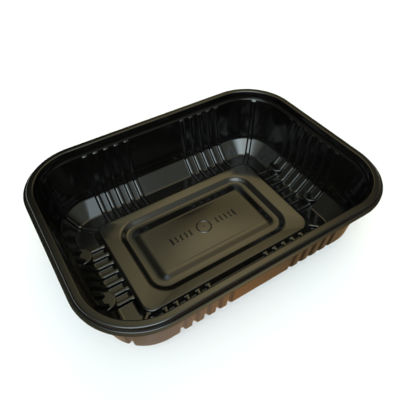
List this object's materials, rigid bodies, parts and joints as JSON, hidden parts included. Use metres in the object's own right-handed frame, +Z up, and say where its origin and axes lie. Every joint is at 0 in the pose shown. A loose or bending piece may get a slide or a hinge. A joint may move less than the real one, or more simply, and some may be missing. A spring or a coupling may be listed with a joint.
{
  "type": "sealable meal tray",
  "caption": "Shallow rectangular food tray in formed black plastic, with rounded corners, a flat sealing flange, ribbed walls and a raised floor with a channel round its middle.",
  "frame": {"origin": "middle of the base, on the surface the tray stands on", "axes": "+Z up, X along the length of the tray, Y across its width"},
  "size_m": [0.187, 0.1386, 0.0482],
  "materials": {
    "black_plastic": "near-black polypropylene sheet, glossy with a faint satin haze"
  },
  "bodies": {
    "root": {"tray": "black_plastic"}
  },
  "joints": []
}
